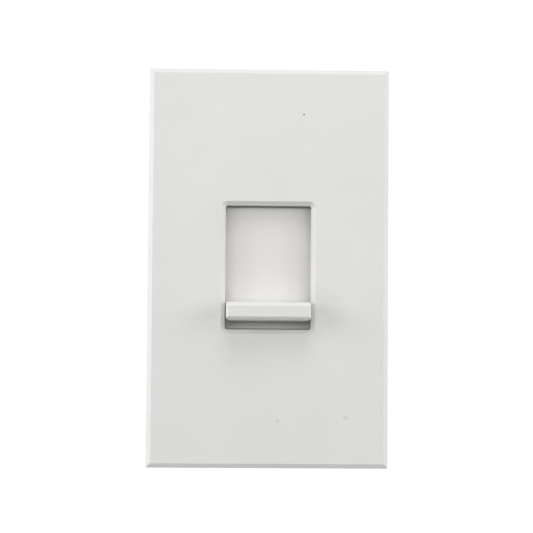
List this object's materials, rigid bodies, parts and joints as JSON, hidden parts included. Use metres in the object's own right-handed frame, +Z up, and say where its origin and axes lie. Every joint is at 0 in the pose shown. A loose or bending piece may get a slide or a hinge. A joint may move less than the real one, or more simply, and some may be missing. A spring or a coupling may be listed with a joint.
{
  "type": "slide dimmer switch",
  "caption": "Wall dimmer: a flat rectangular clip-on faceplate, a bar knob that slides in a dished recess, an aluminium heat-sink yoke and a moulded housing behind it.",
  "frame": {"origin": "midway between the two box-screw holes, on the rear face of the yoke, which is the wall plane", "axes": "+Z up along the length, -Y out of the wall towards the user, +X to the right seen from the front"},
  "size_m": [0.0698, 0.043, 0.1158],
  "materials": {
    "white_faceplate": "fine satin moulded thermoset, white",
    "white_knob": "satin moulded plastic, white",
    "white_bezel": "satin moulded plastic, white",
    "zinc_screws": "bright zinc plate",
    "yoke_aluminium": "brushed, clear anodised",
    "spring_steel": "tempered spring steel",
    "steel_rivets": "plated steel",
    "black_housing": "moulded thermoset with a fine texture",
    "fibre_sheet": "vulcanised fibre sheet",
    "acetal_carriage": "natural acetal",
    "felt": "pressed felt",
    "plated_steel": "nickel-plated steel",
    "phenolic": "phenolic laminate",
    "carbon_track": "screened carbon ink",
    "silver_track": "screened silver ink",
    "acetal_slider": "black acetal",
    "contact_bronze": "phosphor bronze strip",
    "tinned_pins": "tinned copper wire",
    "switch_plastic": "moulded thermoset",
    "contact_brass": "drawn brass",
    "board_laminate": "glass-epoxy board with green mask",
    "insulator_pad": "silicone pad",
    "semiconductor_black": "moulded epoxy",
    "tinned_tab": "tinned copper tab",
    "iron_powder": "painted iron-powder core",
    "enamelled_wire": "enamelled copper wire",
    "capacitor_yellow": "moulded case with epoxy fill",
    "capacitor_red": "dipped epoxy",
    "resistor_body": "coated carbon film",
    "diac_glass": "blue coated glass",
    "solder": "tin solder",
    "trimmer_blue": "moulded case",
    "trimmer_white": "moulded rotor",
    "terminal_brass": "brass",
    "green_screw": "green chromate on steel"
  },
  "bodies": {
    "chassis": {"bezel": "white_bezel", "bezel_screws": "zinc_screws", "yoke": "yoke_aluminium", "retaining_clips": "spring_steel", "clip_rivets": "steel_rivets", "housing": "black_housing", "housing_screws": "zinc_screws", "insulating_sheet": "fibre_sheet", "pot_frame": "plated_steel", "pot_element": "phenolic", "pot_carbon_track": "carbon_track", "pot_collector_track": "silver_track", "pot_pins": "tinned_pins", "switch_base": "switch_plastic", "switch_rails": "contact_brass", "circuit_board": "board_laminate", "triac_insulator": "insulator_pad", "triac_body": "semiconductor_black", "triac_tab": "tinned_tab", "triac_leads": "tinned_pins", "triac_screw": "zinc_screws", "triac_nut": "zinc_screws", "choke_core": "iron_powder", "choke_winding": "enamelled_wire", "filter_capacitor": "capacitor_yellow", "timing_capacitors": "capacitor_red", "resistors": "resistor_body", "diac": "diac_glass", "component_leads": "tinned_pins", "solder_joints": "solder", "trimmer_body": "trimmer_blue", "terminal_plates": "terminal_brass", "terminal_clamps": "plated_steel", "terminal_screws": "terminal_brass", "ground_strap": "plated_steel", "ground_rivet": "steel_rivets", "ground_screw": "green_screw"},
    "faceplate": {"faceplate": "white_faceplate"},
    "slider": {"knob": "white_knob", "slide_carriage": "acetal_carriage", "felt_pads": "felt", "pot_slider": "acetal_slider", "pot_wipers": "contact_bronze", "switch_bridge": "contact_bronze"},
    "trim_rotor": {"trimmer_rotor": "trimmer_white"}
  },
  "joints": [
    {"name": "knob_slide", "type": "slide", "parent": "chassis", "child": "slider", "axis": [0, 0, 1], "range_m": [-0.0022, 0.0276]},
    {"name": "faceplate_pull", "type": "slide", "parent": "chassis", "child": "faceplate", "axis": [0, -1, 0], "range_m": [0, 0.04]},
    {"name": "trimmer_turn", "type": "hinge", "parent": "chassis", "child": "trim_rotor", "pos_m": [-0.0105, 0.008, 0.0272], "axis": [0, -1, 0], "range_deg": [-120, 120]}
  ]
}
